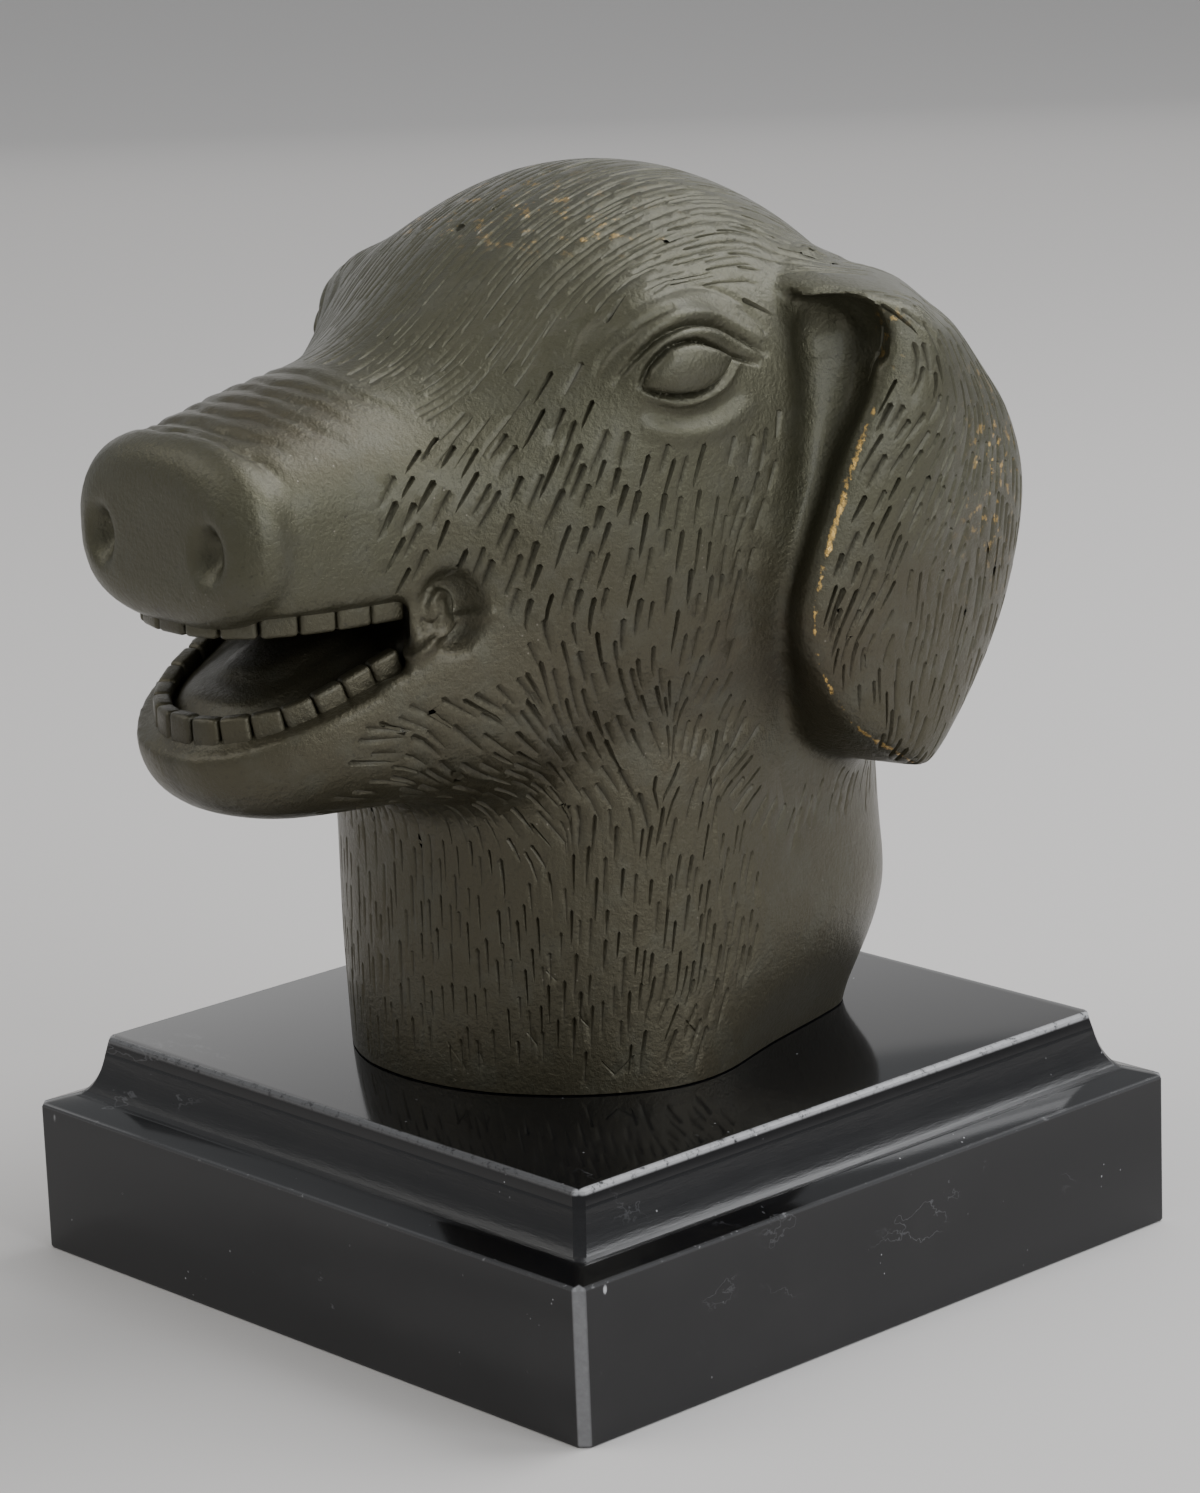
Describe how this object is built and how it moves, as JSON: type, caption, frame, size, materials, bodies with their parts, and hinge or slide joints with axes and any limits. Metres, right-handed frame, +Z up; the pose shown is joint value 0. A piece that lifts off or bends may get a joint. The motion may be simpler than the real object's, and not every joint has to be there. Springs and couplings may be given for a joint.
{
  "type": "pig head sculpture",
  "caption": "Cast bronze pig head with hanging ears and an open mouth, standing on a square stepped plinth of polished black marble.",
  "frame": {"origin": "centre of the plinth's underside", "axes": "+Z up, the pig looks along -Y, its left ear is on +X"},
  "size_m": [0.15, 0.1722, 0.2024],
  "materials": {
    "bronze": "cast bronze with a dark olive-brown patina, satin, worn to a brassy gold on the highest edges",
    "marble": "polished black marble with faint grey veins and pale worn edges; the slot list has no stone"
  },
  "bodies": {
    "root": {"pig_head": "bronze", "plinth": "marble"}
  },
  "joints": []
}
